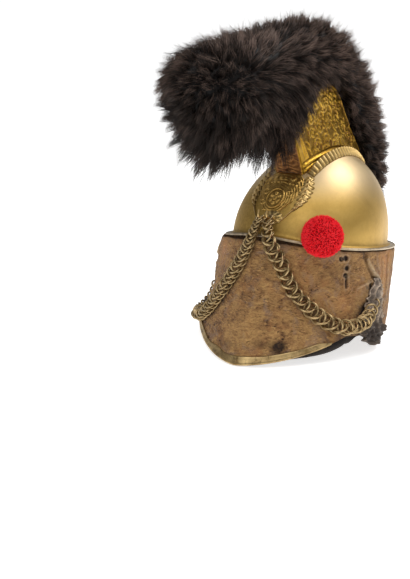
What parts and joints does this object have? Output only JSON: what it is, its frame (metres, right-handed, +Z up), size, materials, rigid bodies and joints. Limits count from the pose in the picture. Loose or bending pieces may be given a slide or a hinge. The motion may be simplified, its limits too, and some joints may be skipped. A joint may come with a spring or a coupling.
{
  "type": "dragoon helmet",
  "caption": "Brass dragoon helmet with a tall leaning crest, a fur chenille over it, a hide-covered turban and visor, ring chin chains hooked up in front and a woollen pompon.",
  "frame": {"origin": "middle of the helmet's box, on the table it stands on", "axes": "+Z up; the wearer faces -Y and the wearer's left is +X; the helmet is tipped back as it stands on the visor's tip and the turban's back edge"},
  "size_m": [0.2468, 0.4148, 0.3893],
  "materials": {
    "bowl_brass": "satin, worn, with darker patches",
    "relief_brass": "tarnished, brown in the hollows",
    "band_brass": "satin",
    "chain_brass": "dull olive",
    "hide": "worn brown suede with dark stains",
    "black_leather": "dry and cracked",
    "red_wool": "cut wool",
    "black_fur": "long coarse hair, black to dark brown"
  },
  "bodies": {
    "root": {"bowl": "bowl_brass", "crest": "relief_brass", "gadroon_left": "relief_brass", "gadroon_right": "relief_brass", "front_plate": "relief_brass", "leaf_left": "relief_brass", "leaf_right": "relief_brass", "chain_hook": "relief_brass", "hide_cover": "hide", "visor_leather": "black_leather", "visor_band": "band_brass", "pompon": "red_wool", "pompon_pin": "relief_brass", "chenille": "black_fur", "chin_chain_left": "chain_brass", "chin_chain_right": "chain_brass", "strap_tab_left": "black_leather", "strap_tab_right": "black_leather", "ear_loop_left": "chain_brass", "ear_loop_right": "chain_brass"}
  },
  "joints": []
}
